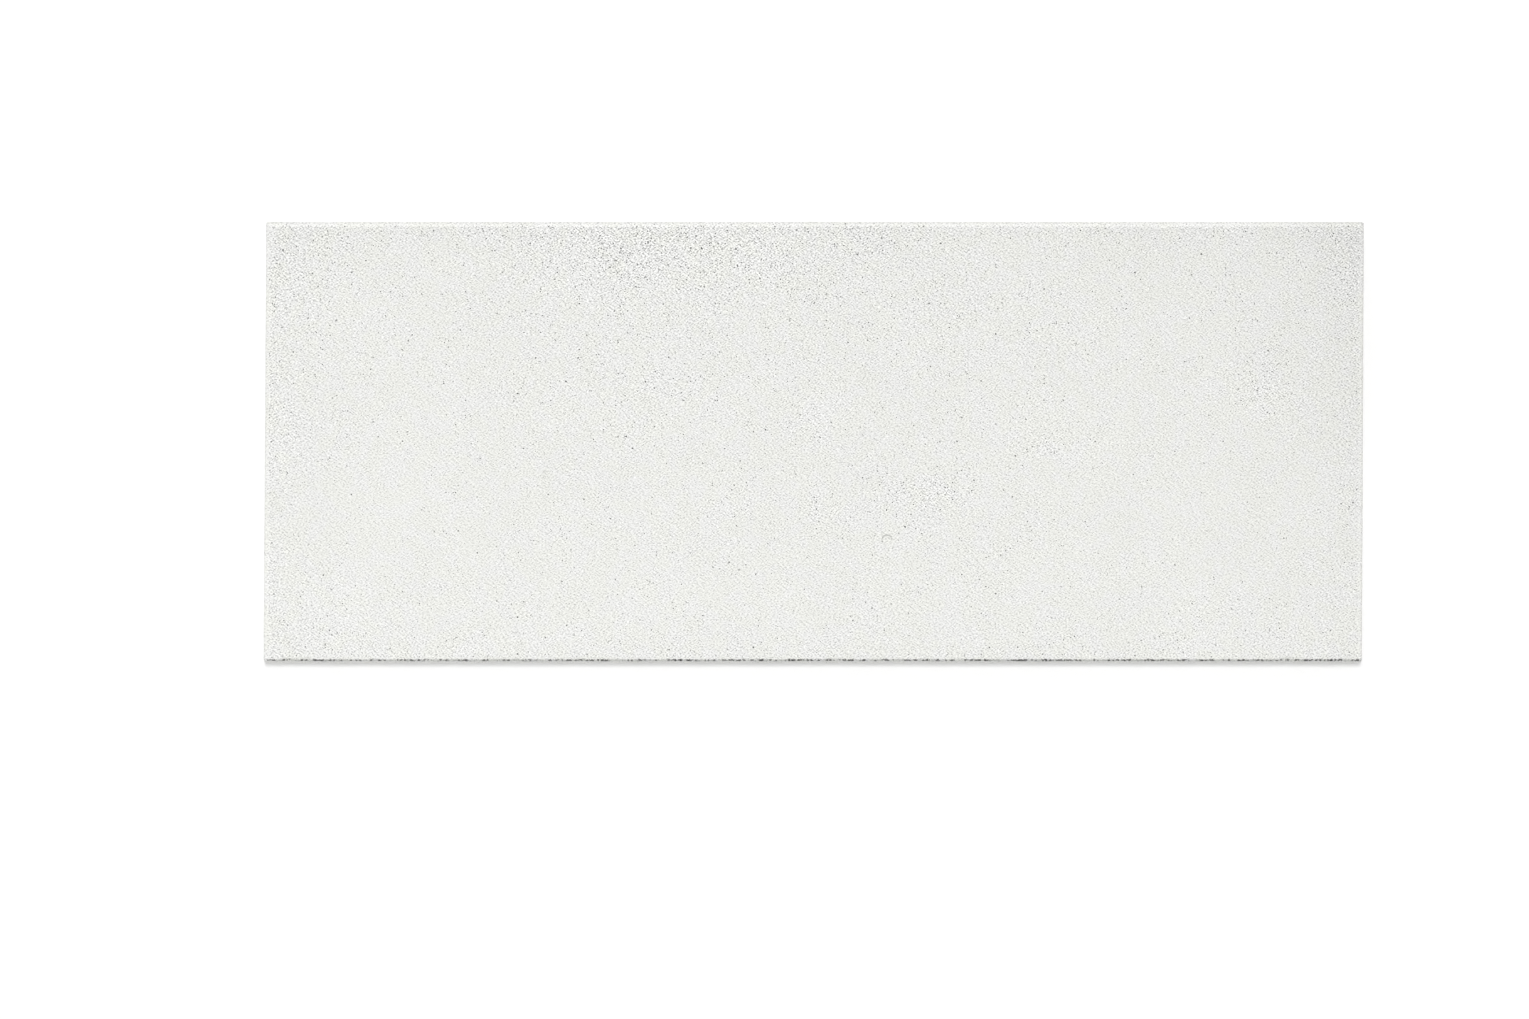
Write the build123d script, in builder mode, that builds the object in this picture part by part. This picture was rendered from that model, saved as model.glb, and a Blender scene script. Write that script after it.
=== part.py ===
from build123d import *
import os

# Rectangular concrete paving slab, pressed in one piece and lying flat as it is laid.
# The origin is the middle of the underside: X runs along the length, Y across the width, Z up.
# All sizes are in millimetres.

# Driving dimensions
slab_length = 1000.0
slab_width = 400.0
slab_thickness = 50.0
# Round-over that the mould gives to the edge all round the walking face
arris_radius = 3.0
# Radius left at the four corners of the flat walking face, inside the round-over
face_corner_radius = 0.5
# Small bevel all round the underside, where the mix is struck off
bed_bevel = 1.0

# The upright corners turn about the same centres as the corners of the walking face.
corner_radius = face_corner_radius + arris_radius

# Slab: a rounded rectangle raised to its thickness, then its two rims are broken
with BuildPart() as paving_slab:
    with BuildSketch(Plane.XY) as outline:
        RectangleRounded(slab_length, slab_width, corner_radius)
    extrude(amount=slab_thickness)
    walking_face = paving_slab.faces().sort_by(Axis.Z)[-1]
    fillet(walking_face.edges(), radius=arris_radius)
    bed_face = paving_slab.faces().sort_by(Axis.Z)[0]
    chamfer(bed_face.edges(), length=bed_bevel)
paving_slab.part.label = "paving_slab"

os.makedirs("parts", exist_ok=True)
export_step(paving_slab.part, "parts/paving_slab.step")
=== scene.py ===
"""A pressed concrete paving slab with an open-pored walking face, lying flat on a plain white floor."""

import math

import bpy
import numpy as np
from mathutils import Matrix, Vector


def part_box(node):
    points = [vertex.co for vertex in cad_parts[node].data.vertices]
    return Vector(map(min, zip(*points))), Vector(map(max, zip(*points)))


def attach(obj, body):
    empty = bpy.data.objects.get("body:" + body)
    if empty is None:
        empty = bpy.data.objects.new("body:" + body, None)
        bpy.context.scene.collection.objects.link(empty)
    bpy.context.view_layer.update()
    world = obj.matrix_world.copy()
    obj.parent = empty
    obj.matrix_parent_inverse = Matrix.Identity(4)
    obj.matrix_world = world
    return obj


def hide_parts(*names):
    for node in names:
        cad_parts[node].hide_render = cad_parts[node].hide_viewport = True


bl_info = {
    "name": "Concrete paving slab",
    "version": (1, 0, 0),
    "blender": (4, 5, 0),
    "location": "3D View > Sidebar > Paving slab",
    "description": "Models a pressed concrete slab with open pores, and sets its floor, lamps and camera",
    "category": "Object",
}

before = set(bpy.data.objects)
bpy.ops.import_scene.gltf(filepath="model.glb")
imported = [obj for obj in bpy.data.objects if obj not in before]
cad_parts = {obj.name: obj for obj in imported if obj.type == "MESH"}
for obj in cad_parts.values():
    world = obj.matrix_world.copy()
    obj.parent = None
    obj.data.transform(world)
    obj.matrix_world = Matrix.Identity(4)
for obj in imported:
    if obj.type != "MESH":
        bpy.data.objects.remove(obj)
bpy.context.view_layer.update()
slab_low, slab_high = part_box("paving_slab")
SLAB_SIZE = slab_high - slab_low

MM = 0.001
# The seed of every random draw
SEED = 2411
# The slab's sizes in millimetres, as the concrete's patterns have them
HALF_LENGTH = SLAB_SIZE.x / 2 / MM
HALF_WIDTH = SLAB_SIZE.y / 2 / MM
THICKNESS = SLAB_SIZE.z / MM

# The photograph's frame, and where the slab's walking face lies in it, in pixels
PHOTO_WIDTH = 1529
PHOTO_HEIGHT = 1019
FACE_LEFT = 264.7
FACE_RIGHT = 1363.2
FACE_TOP = 221.6
FACE_BOTTOM = 660.8
# The slab in the photograph is a little out of square: its ends lean by this much over its depth
OUT_OF_SQUARE = 2.1 * MM
METRES_PER_PIXEL = (SLAB_SIZE.x - OUT_OF_SQUARE) / (FACE_RIGHT - FACE_LEFT)
FACE_MIDDLE = ((FACE_LEFT + FACE_RIGHT) / 2, (FACE_TOP + FACE_BOTTOM) / 2)


def on_face(pixel_x, pixel_y):
    """The place on the walking face, in metres, that a pixel of the photograph shows."""
    return (
        (pixel_x - FACE_MIDDLE[0]) * METRES_PER_PIXEL,
        (FACE_MIDDLE[1] - pixel_y) * METRES_PER_PIXEL,
    )


# Areas of the face that came out of the mould more open or closed than the rest, as (middle in
# pixels, reach along the slab and across it in metres, how much more open, or less where it is negative)
OPEN_AREAS = (
    ((650, 240), (0.120, 0.055), 0.78),
    ((830, 248), (0.090, 0.045), 0.28),
    ((285, 262), (0.060, 0.055), 0.50),
    ((275, 410), (0.045, 0.055), 0.25),
    ((1360, 240), (0.035, 0.060), 0.45),
    ((1263, 387), (0.026, 0.024), 0.42),
    ((1040, 443), (0.024, 0.014), 0.42),
    ((928, 494), (0.034, 0.015), 0.50),
    ((811, 424), (0.018, 0.018), 0.38),
    ((823, 511), (0.022, 0.014), 0.30),
    ((730, 505), (0.020, 0.014), 0.30),
    ((651, 384), (0.045, 0.022), 0.20),
    ((960, 310), (0.130, 0.070), 0.15),
    ((700, 385), (0.170, 0.085), 0.14),
    ((930, 520), (0.080, 0.045), 0.12),
    ((310, 620), (0.090, 0.045), 0.15),
    ((420, 520), (0.110, 0.045), -0.12),
    ((1210, 520), (0.120, 0.060), -0.13),
)
# How open the rest of the face is, how much more open it is at its edge, and how far inwards that
# reaches, in metres
BASE_OPENNESS = 0.22
EDGE_OPENNESS = 0.30
EDGE_REACH = 20 * MM
# A burst bubble in the face: its middle in pixels, and the radius of its ring in metres
BUBBLE_AT = (887, 540)
BUBBLE_RADIUS = 4.4 * MM
# The one chip of the front arris that shows, in pixels
CHIP_AT = (1287, 659)


class SlabForm(bpy.types.PropertyGroup):
    """Sizes of the slab's surface."""

    face_cells_along: bpy.props.IntProperty(
        name="Cells along", description="Cells of the face's grid along the slab, a multiple of 4",
        default=396, min=40, max=480)
    face_cells_across: bpy.props.IntProperty(
        name="Cells across", description="Cells of the face's grid across the slab, a multiple of 4",
        default=156, min=16, max=200)
    side_rows: bpy.props.IntProperty(
        name="Side rows", description="Rows of cells down the upright sides", default=16, min=4, max=40)
    arris_rows: bpy.props.IntProperty(
        name="Arris rows", description="Rows of cells over the rounded arris", default=5, min=2, max=12)
    corner_columns: bpy.props.IntProperty(
        name="Corner columns", description="Columns of cells round each upright corner",
        default=6, min=2, max=16)
    arris_radius: bpy.props.FloatProperty(
        name="Arris radius", description="Round-over of the edge of the walking face",
        default=3.0 * MM, min=0.0, unit="LENGTH", precision=4)
    corner_radius: bpy.props.FloatProperty(
        name="Corner radius", description="Radius of the upright corners",
        default=3.5 * MM, min=0.0, unit="LENGTH", precision=4)
    corner_fullness: bpy.props.FloatProperty(
        name="Corner fullness", description="How much further out than its radius a corner stands",
        default=0.2, min=0.0, max=0.4, subtype="FACTOR")
    bed_bevel: bpy.props.FloatProperty(
        name="Bed bevel", description="Bevel round the underside",
        default=1.0 * MM, min=0.0, unit="LENGTH", precision=4)
    face_wave: bpy.props.FloatProperty(
        name="Face wave", description="How far the walking face is out of flat",
        default=0.18 * MM, min=0.0, unit="LENGTH", precision=5)
    face_grit: bpy.props.FloatProperty(
        name="Face grit", description="Depth of the sandy unevenness of the face",
        default=0.025 * MM, min=0.0, unit="LENGTH", precision=5)
    edge_sink: bpy.props.FloatProperty(
        name="Edge sink", description="How far the face is worn down along its edge",
        default=0.12 * MM, min=0.0, unit="LENGTH", precision=5)
    side_drag: bpy.props.FloatProperty(
        name="Side drag", description="Depth of the unevenness that the mould's walls leave on the sides",
        default=0.35 * MM, min=0.0, unit="LENGTH", precision=5)
    arris_crumble: bpy.props.FloatProperty(
        name="Arris crumble", description="How deep the fine crumbling of the arris goes",
        default=0.45 * MM, min=0.0, unit="LENGTH", precision=5)
    chip_count: bpy.props.IntProperty(
        name="Chips", description="Small chips knocked out of the arris all round", default=26, min=0)
    chip_depth: bpy.props.FloatProperty(
        name="Chip depth", description="Depth of the deepest chip",
        default=1.3 * MM, min=0.0, unit="LENGTH", precision=4)
    pore_radius: bpy.props.FloatProperty(
        name="Pore radius", description="Radius of the widest modelled pore",
        default=1.05 * MM, min=0.0, unit="LENGTH", precision=4)


class ConcreteLook(bpy.types.PropertyGroup):
    """Colours and strengths of the concrete's finish, and of the highlight and shade painted on it."""

    paste: bpy.props.FloatVectorProperty(
        name="Cement paste", description="Colour of the pale cement skin",
        default=(0.860, 0.861, 0.847), subtype="COLOR", min=0.0, max=1.0)
    warm_paste: bpy.props.FloatVectorProperty(
        name="Warm paste", description="Colour where the skin has a warmer cast",
        default=(0.856, 0.860, 0.820), subtype="COLOR", min=0.0, max=1.0)
    lightness: bpy.props.FloatProperty(
        name="Lightness", description="Lightness of the skin in the middle of the face, 1 is its colour",
        default=0.984, min=0.0, max=1.1)
    # Painted shade in the pores, which are darkened where shade falls in them
    pore_shade: bpy.props.FloatProperty(
        name="Pore shade", description="Lightness of a pore's floor, as a share of the skin's",
        default=0.26, min=0.0, max=1.0, subtype="FACTOR")
    grain_size: bpy.props.FloatProperty(
        name="Grain size", description="Size of the sandy unevenness in the skin's lightness",
        default=1.3 * MM, min=0.0, unit="LENGTH", precision=5)
    grain_contrast: bpy.props.FloatProperty(
        name="Grain contrast", description="How much the sandy skin differs in lightness",
        default=0.38, min=0.0, max=1.0, subtype="FACTOR")
    # Painted shade on two sides of each light grain, standing in for the shading of its relief
    painted_grain_shade: bpy.props.FloatProperty(
        name="Grain edge", description="How much each light grain is edged by darker paste",
        default=0.36, min=0.0, max=1.0, subtype="FACTOR")
    relief: bpy.props.FloatProperty(
        name="Grain relief", description="Height of the sandy relief",
        default=0.15 * MM, min=0.0, unit="LENGTH", precision=5)
    # Painted shade in the gaps between grains, the low parts of the relief
    gap_shade: bpy.props.FloatProperty(
        name="Gap shade", description="How much darker the gaps between grains are",
        default=0.12, min=0.0, max=1.0, subtype="FACTOR")
    wide_pore: bpy.props.FloatProperty(
        name="Wide pore", description="Radius of the widest wide pore",
        default=1.0 * MM, min=0.0, unit="LENGTH", precision=5)
    middling_pore: bpy.props.FloatProperty(
        name="Middling pore", description="Radius of the widest middling pore",
        default=0.72 * MM, min=0.0, unit="LENGTH", precision=5)
    fine_pore: bpy.props.FloatProperty(
        name="Fine pore", description="Radius of the widest fine pore",
        default=0.46 * MM, min=0.0, unit="LENGTH", precision=5)
    pore_relief: bpy.props.FloatProperty(
        name="Pore relief", description="Depth of the pores in the relief",
        default=1.0, min=0.0, max=2.0, subtype="FACTOR")
    speck: bpy.props.FloatProperty(
        name="Speck", description="How much lighter the light specks are",
        default=0.03, min=0.0, max=1.0, subtype="FACTOR")
    rim_light: bpy.props.FloatProperty(
        name="Rim light", description="How much lighter the rubbed rim round a pore is",
        default=0.12, min=0.0, max=1.0, subtype="FACTOR")
    middling_chance: bpy.props.FloatProperty(
        name="Middling pores", description="How many middling pores there are",
        default=0.95, min=0.0, max=2.0, subtype="FACTOR")
    fine_chance: bpy.props.FloatProperty(
        name="Fine pores", description="How many fine pores there are",
        default=0.7, min=0.0, max=2.0, subtype="FACTOR")
    mottle_contrast: bpy.props.FloatProperty(
        name="Mottle contrast", description="How much slow patches differ in lightness",
        default=0.022, min=0.0, max=1.0, subtype="FACTOR")
    # Painted highlight on the top of the back arris, and a third as much along the ends
    arris_highlight: bpy.props.FloatProperty(
        name="Highlighted arris", description="How much lighter the rubbed top of the back arris is",
        default=0.14, min=0.0, max=1.0, subtype="FACTOR")
    # Painted shade: a dark broken line along the foot of the front arris
    painted_foot_shade: bpy.props.FloatProperty(
        name="Painted_foot_shade", description="Strength of the shaded line along the foot of the front arris",
        default=1.0, min=0.0, max=1.0, subtype="FACTOR")
    side_contrast: bpy.props.FloatProperty(
        name="Side contrast", description="How much the rough sides and underside differ in lightness",
        default=0.07, min=0.0, max=1.0, subtype="FACTOR")
    roughness: bpy.props.FloatProperty(
        name="Roughness", description="Roughness of the skin between the pores",
        default=0.86, min=0.0, max=1.0, subtype="FACTOR")


class StageSetting(bpy.types.PropertyGroup):
    """Floor, lamps and camera."""

    floor_size: bpy.props.FloatProperty(
        name="Floor size", description="Length of the square floor's sides", default=16.0, unit="LENGTH")
    floor_colour: bpy.props.FloatVectorProperty(
        name="Floor colour", description="Colour of the floor",
        default=(0.88, 0.88, 0.88), subtype="COLOR", min=0.0, max=1.0)
    floor_lift: bpy.props.FloatProperty(
        name="Floor lift", description="What the camera sees on top of the floor's own light, 1 is white",
        default=0.18, min=0.0)
    dome: bpy.props.FloatProperty(
        name="Dome", description="Strength of the even light from all round", default=0.645, min=0.0)
    key: bpy.props.FloatProperty(
        name="Key lamp", description="Share of the face's light that the lamp above gives",
        default=0.32, min=0.0)
    key_lean: bpy.props.FloatProperty(
        name="Key lean", description="How far the lamp above leans to the back",
        default=math.radians(3.4), subtype="ANGLE")
    key_spread: bpy.props.FloatProperty(
        name="Key spread", description="Angle that the lamp above fills, which softens its shadow",
        default=math.radians(4.5), subtype="ANGLE")
    dome_slope: bpy.props.FloatProperty(
        name="Dome slope", description="How much stronger the dome is at the back than at the sides",
        default=0.05, min=0.0, max=1.0)
    back: bpy.props.FloatProperty(
        name="Back lamp", description="Strength of the low lamp at the back, on the key lamp's scale",
        default=0.15, min=0.0)
    back_turn: bpy.props.FloatProperty(
        name="Back lamp turn", description="How far the back lamp stands round to the left",
        default=math.radians(12), subtype="ANGLE")
    back_height: bpy.props.FloatProperty(
        name="Back lamp height", description="How high the back lamp stands above the floor",
        default=math.radians(16), subtype="ANGLE")
    back_spread: bpy.props.FloatProperty(
        name="Back lamp spread", description="Angle that the back lamp fills",
        default=math.radians(12), subtype="ANGLE")
    camera_distance: bpy.props.FloatProperty(
        name="Camera distance", description="From the camera to the face", default=25.0, unit="LENGTH")
    camera_tilt: bpy.props.FloatProperty(
        name="Camera tilt", description="How far the camera stands to the front of straight above",
        default=math.radians(2.63), subtype="ANGLE")


def lattice_noise(u, v, cell, draw, around=None):
    """Smooth noise from -1 to 1 over two coordinates in metres.

    Random heights stand on a square lattice of the given cell. Between four of them the height is
    mixed with weights that ease in and out, 3t^2 - 2t^3. With around, the first coordinate closes
    on itself after that length.
    """
    columns = max(1, round(around / cell)) if around else int(np.ptp(u) / cell) + 3
    rows = int(np.ptp(v) / cell) + 3
    heights = draw.uniform(-1.0, 1.0, (columns, rows))
    a = (u / around * columns) if around else (u - u.min()) / cell
    b = (v - v.min()) / cell
    i, j = np.floor(a).astype(int), np.floor(b).astype(int)
    s, t = a - i, b - j
    s, t = s * s * (3 - 2 * s), t * t * (3 - 2 * t)
    i, i_next = i % columns, (i + 1) % columns
    low = heights[i, j] * (1 - s) + heights[i_next, j] * s
    high = heights[i, j + 1] * (1 - s) + heights[i_next, j + 1] * s
    return low * (1 - t) + high * t


def openness(x, y):
    """How open the face is at a place, from 0 to 1: a low level, plus one bell curve for each open area,
    plus a rise towards the slab's edge that dies away exponentially."""
    inward = np.minimum(SLAB_SIZE.x / 2 - np.abs(x), SLAB_SIZE.y / 2 - np.abs(y))
    level = BASE_OPENNESS + EDGE_OPENNESS * np.exp(-inward / EDGE_REACH)
    for middle, reach, more in OPEN_AREAS:
        at_x, at_y = on_face(*middle)
        level += more * np.exp(-(((x - at_x) / reach[0]) ** 2) - ((y - at_y) / reach[1]) ** 2)
    return np.clip(level, 0.0, 1.0)


# A pore is the grid point in its middle and the eight points round it. Cycles cuts each cell from its
# first to its third corner, so six of the eight are the pore's rim and the other two lie just outside it.
# Each is (step along, step across, angle round the pore in degrees, distance in pore radii).
PORE_RIM = (
    (1, 0, 0, 1.0), (1, 1, 58, 1.0), (0, 1, 112, 1.0), (-1, 1, 146, 1.12),
    (-1, 0, 180, 1.0), (-1, -1, 238, 1.0), (0, -1, 292, 1.0), (1, -1, 326, 1.12),
)


def sink_pores(points, inward, along, across, chance, widest, draw):
    """Sinks pores into a grid of points, and returns how far each point is inside one, from 0 to 1.

    A pore may sit where a random field is highest within two points all round, which keeps pores
    apart, and sits there with the given chance. Its radius is 0.4 to 1 of the widest, more often small
    than wide. It is shifted by up to 0.4 mm and turned by up to 20 degrees. Its middle point goes in by
    0.5 to 0.9 of the radius, and the eight points round it close in to its rim, a ring that is flattened
    to 0.7 of its width at most.
    """
    field = draw.random(points.shape[:2])
    windows = np.lib.stride_tricks.sliding_window_view(field, (5, 5))
    peaks = windows.max(axis=(2, 3)) == field[2:-2, 2:-2]
    peaks &= draw.random(peaks.shape) < chance[2:-2, 2:-2]
    i, j = np.nonzero(peaks)
    i, j = i + 2, j + 2
    radius = widest * (0.40 + 0.60 * draw.random(len(i)) ** 2)[:, None]
    shift = draw.uniform(-0.4 * MM, 0.4 * MM, (2, len(i), 1))
    turn = draw.uniform(-20.0, 20.0, len(i))
    flat = draw.uniform(0.7, 1.0, len(i))
    middle = points[i, j] + along[i, j] * shift[0] + across[i, j] * shift[1]
    for step_i, step_j, angle, distance in PORE_RIM:
        round_it = np.radians(angle + turn)
        ring = along[i, j] * np.cos(round_it)[:, None] + across[i, j] * (np.sin(round_it) * flat)[:, None]
        points[i + step_i, j + step_j] = middle + ring * radius * distance
    points[i, j] = middle + inward[i, j] * radius * draw.uniform(0.5, 0.9, (len(i), 1))
    inside = np.zeros(points.shape[:2])
    inside[i, j] = 1.0
    return inside


# Lengths on the walking face, in metres: of its slow waves, of the ripples on them and of its grit, and
# how far inwards its worn edge reaches
WAVE_LENGTH = 0.11
RIPPLE_LENGTH = 0.045
GRIT_LENGTH = 4 * MM
WORN_EDGE_REACH = 2.2 * MM
# A modelled pore's chance where the face is fully open
PORE_CHANCE = 1.25


def face_grid(form, draw):
    """The walking face: a flat grid that sinks by slow waves and fine grit, with pores in it.

    It never rises above the slab's thickness and is softly worn down along its edge. Returns its points,
    how far each is inside a pore, and how far each is from the edge.
    """
    edge_x = SLAB_SIZE.x / 2 - form.arris_radius
    edge_y = SLAB_SIZE.y / 2 - form.arris_radius
    x, y = np.meshgrid(
        np.linspace(-edge_x, edge_x, form.face_cells_along + 1),
        np.linspace(-edge_y, edge_y, form.face_cells_across + 1),
        indexing="ij",
    )
    wave = lattice_noise(x, y, WAVE_LENGTH, draw) + 0.5 * lattice_noise(x, y, RIPPLE_LENGTH, draw)
    grit = lattice_noise(x, y, GRIT_LENGTH, draw)
    sunk = form.face_wave * (wave.max() - wave) / np.ptp(wave) + form.face_grit * (1 - grit) / 2
    from_edge = np.minimum(edge_x - np.abs(x), edge_y - np.abs(y))
    sunk += form.edge_sink * np.exp(-((from_edge / WORN_EDGE_REACH) ** 2))
    # The corners of the face are rounded by what the arris leaves of the corner radius.
    tight = (form.corner_radius - form.arris_radius) * (1 - math.sqrt(0.5))
    for i, j in ((0, 0), (0, -1), (-1, 0), (-1, -1)):
        x[i, j] -= math.copysign(tight, x[i, j])
        y[i, j] -= math.copysign(tight, y[i, j])
    points = np.stack([x, y, SLAB_SIZE.z - sunk], axis=2)
    ones = np.ones(points.shape)
    inside = sink_pores(
        points, ones * (0, 0, -1), ones * (1, 0, 0), ones * (0, 1, 0),
        openness(x, y) * PORE_CHANCE, form.pore_radius, draw,
    )
    return points, inside, from_edge


def rim_path(form):
    """The way round the slab, anticlockwise from above, one column for each point on the face's border.

    Returns each column's foot (on the lines through the corners' centres), its outward direction, the
    face point that it starts from, the side it belongs to, and the length gone round. A corner's columns
    all start from the face's corner point and turn about the corner's centre.
    """
    cells = (form.face_cells_along, form.face_cells_across)
    centre = np.array([SLAB_SIZE.x, SLAB_SIZE.y]) / 2 - form.corner_radius
    face_edge = np.array([SLAB_SIZE.x, SLAB_SIZE.y]) / 2 - form.arris_radius
    feet, outward, starts, sides = [], [], [], []
    # Each side: its run's axis, the way along it, and its outward angle in degrees
    for side, (axis, way, out_angle) in enumerate(((0, 1, -90), (1, 1, 0), (0, -1, 90), (1, -1, 180))):
        count = cells[axis]
        steps = np.arange(1, count)
        out = np.round([math.cos(math.radians(out_angle)), math.sin(math.radians(out_angle))])
        run = np.empty((count - 1, 2))
        run[:, axis] = way * face_edge[axis] * (2 * steps / count - 1)
        run[:, 1 - axis] = out[1 - axis] * centre[1 - axis]
        index = steps if way > 0 else count - steps
        border = cells[1 - axis] if out[1 - axis] > 0 else 0
        start = index * (cells[1] + 1) + border if axis == 0 else border * (cells[1] + 1) + index
        angles = np.radians(out_angle + np.linspace(0, 90, form.corner_columns + 1))
        turn = np.stack([np.cos(angles), np.sin(angles)], axis=1)
        corner = np.sign(np.round(turn[0] + turn[-1], 6)) * centre
        corner_i = cells[0] if corner[0] > 0 else 0
        corner_j = cells[1] if corner[1] > 0 else 0
        feet += [run, np.tile(corner, (len(turn), 1))]
        outward += [np.tile(out, (count - 1, 1)), turn]
        starts += [start, np.full(len(turn), corner_i * (cells[1] + 1) + corner_j)]
        sides += [np.full(count - 1 + len(turn), side)]
    feet, outward = np.concatenate(feet), np.concatenate(outward)
    outline = feet + outward * form.corner_radius
    steps = np.linalg.norm(np.roll(outline, -1, axis=0) - outline, axis=1)
    gone = np.concatenate([[0.0], np.cumsum(steps)])
    return feet, outward, np.concatenate(starts), np.concatenate(sides), gone


def rim_profile(form):
    """The section of the rim, from the face's edge down to the bed, without its first point.

    Returns each point's reach from the corners' centre line, its height, the part of the arris's turn
    done (1 at its foot), the length gone from the face's edge, and how many rows the arris has.
    """
    turn = np.linspace(0, math.pi / 2, form.arris_rows + 1)[1:]
    tight = form.corner_radius - form.arris_radius
    arris_reach = tight + form.arris_radius * np.sin(turn)
    arris_height = SLAB_SIZE.z - form.arris_radius * (1 - np.cos(turn))
    side_height = np.linspace(arris_height[-1], form.bed_bevel, form.side_rows + 1)[1:]
    reach = np.concatenate([arris_reach, np.full(form.side_rows, form.corner_radius),
                            [form.corner_radius - form.bed_bevel]])
    height = np.concatenate([arris_height, side_height, [0.0]])
    done = np.concatenate([turn / turn[-1], np.ones(form.side_rows + 1)])
    start = np.array([tight, SLAB_SIZE.z])
    steps = np.diff(np.vstack([start, np.stack([reach, height], axis=1)]), axis=0)
    return reach, height, done, np.cumsum(np.hypot(*steps.T)), form.arris_rows


# Half lengths of the shortest and longest chip of the arris, and of the one that the photograph shows,
# and the depth of the shallowest chip as a share of the deepest
SHORT_CHIP = 2.0 * MM
LONG_CHIP = 7.0 * MM
SHOWN_CHIP = 6.0 * MM
SHALLOW_CHIP = 0.35


def chip_wear(form, feet, outward, gone, draw):
    """How deep the chips of the arris are at each column: for each chip an upturned parabola of its
    length, and between chips nothing. One chip is where the photograph shows it."""
    places = draw.uniform(0, gone[-1], form.chip_count)
    lengths = draw.uniform(SHORT_CHIP, LONG_CHIP, form.chip_count)
    depths = form.chip_depth * draw.uniform(SHALLOW_CHIP, 1.0, form.chip_count)
    shown_x = on_face(*CHIP_AT)[0]
    on_front = outward[:, 1] < -0.99
    shown = gone[:-1][on_front][np.argmin(np.abs(feet[on_front, 0] - shown_x))]
    places = np.append(places, shown)
    lengths = np.append(lengths, SHOWN_CHIP)
    depths = np.append(depths, form.chip_depth)
    apart = np.abs(gone[:-1, None] - places)
    apart = np.minimum(apart, gone[-1] - apart)
    return (depths * np.clip(1 - (apart / lengths) ** 2, 0, None)).max(axis=1)


# Lengths on the rim, in metres: of the slow and the fine unevenness of the sides, and of the fine and the
# slow crumbling of the arris. Then how far up the sides the crumbling of the bed's edge reaches, and how
# far down them a chip does.
SLOW_DRAG = 23 * MM
FINE_DRAG = 5 * MM
FINE_CRUMB = 3.2 * MM
SLOW_CRUMB = 14 * MM
FOOT_REACH = 5 * MM
CHIP_REACH = 6 * MM
# A modelled pore's chance on the sides, and its width as a share of that of a pore on the face
SIDE_PORE_CHANCE = 0.55
SIDE_PORE_WIDTH = 1.1


def rim_grid(form, path, profile, draw):
    """The rim: its section carried round the path, worn inwards by noise, by chips on the arris, and by
    pores on the upright sides. Returns the points, row by row, and how far each is inside a pore."""
    feet, outward, _, _, gone = path
    reach, height, done, down, arris_rows = profile
    total = gone[-1]
    u, v = np.meshgrid(gone[:-1], down)
    drag = (1 - lattice_noise(u, v, SLOW_DRAG, draw, around=total)) / 2
    drag += 0.35 * (1 - lattice_noise(u, v, FINE_DRAG, draw, around=total))
    crumble = np.clip(lattice_noise(u, v, FINE_CRUMB, draw, around=total), 0, None) ** 2
    crumble += 0.4 * np.clip(lattice_noise(u, v, SLOW_CRUMB, draw, around=total), 0, None)
    on_arris = np.sin(np.pi * np.clip(done, 0, 1))[:, None] ** 0.7
    foot = np.exp(-(height[:, None] / FOOT_REACH) ** 2)
    wear = form.side_drag * drag * done[:, None] * 0.6
    wear += form.arris_crumble * crumble * np.clip(on_arris + 0.6 * foot, 0, 1)
    # A chip is a quarter as deep on the side under the arris.
    under_arris = 0.25 * (1 - foot) * (height[:, None] > SLAB_SIZE.z - CHIP_REACH)
    wear += chip_wear(form, feet, outward, gone, draw) * np.clip(on_arris + under_arris, 0, 1)
    # Wear goes in along the section's own direction: out of the side, and down where the arris turns up.
    # A corner stands further out by its fullness times the squared sine of twice its angle.
    side_share = np.sin(done * math.pi / 2)[:, None]
    fullness = 1 + form.corner_fullness * (2 * outward[:, 0] * outward[:, 1]) ** 2
    points = np.empty((*wear.shape, 3))
    points[:, :, :2] = feet + outward * (reach[:, None] * fullness - wear * side_share)[:, :, None]
    points[:, :, 2] = height[:, None] - wear * np.cos(done * math.pi / 2)[:, None]
    points[-1, :, 2] = 0.0
    rows = slice(arris_rows, len(reach) - 1)
    wall = points[rows]
    shape = np.ones(wall.shape)
    out = np.dstack([shape[:, :, :2] * outward, shape[:, :, 2:] * 0])
    beside = np.dstack([-out[:, :, 1:2], out[:, :, :1], shape[:, :, 2:] * 0])
    on_flat = np.abs(outward).max(axis=1) > 0.999
    chance = np.full(wall.shape[:2], SIDE_PORE_CHANCE) * on_flat
    inside = np.zeros(points.shape[:2])
    inside[rows] = sink_pores(
        wall, -out, shape * (0, 0, -1), beside, chance, form.pore_radius * SIDE_PORE_WIDTH, draw
    )
    return points, inside


class SurfaceParts:
    """Gathers faces and their places on the bake map."""

    def __init__(self):
        self.faces = []
        self.places = []

    def add(self, faces, places):
        """faces is an array of point numbers with one row a face, and places has a (u, v) for each."""
        self.faces += faces.tolist()
        self.places.append(places.reshape(-1, 2))


def grid_faces(rows, columns, first=0):
    """The cells of a grid of points as four point numbers each, turning from the rows to the columns."""
    number = first + np.arange(rows * columns).reshape(rows, columns)
    corners = [number[:-1, :-1], number[1:, :-1], number[1:, 1:], number[:-1, 1:]]
    return np.stack(corners, axis=2).reshape(-1, 4)


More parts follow.
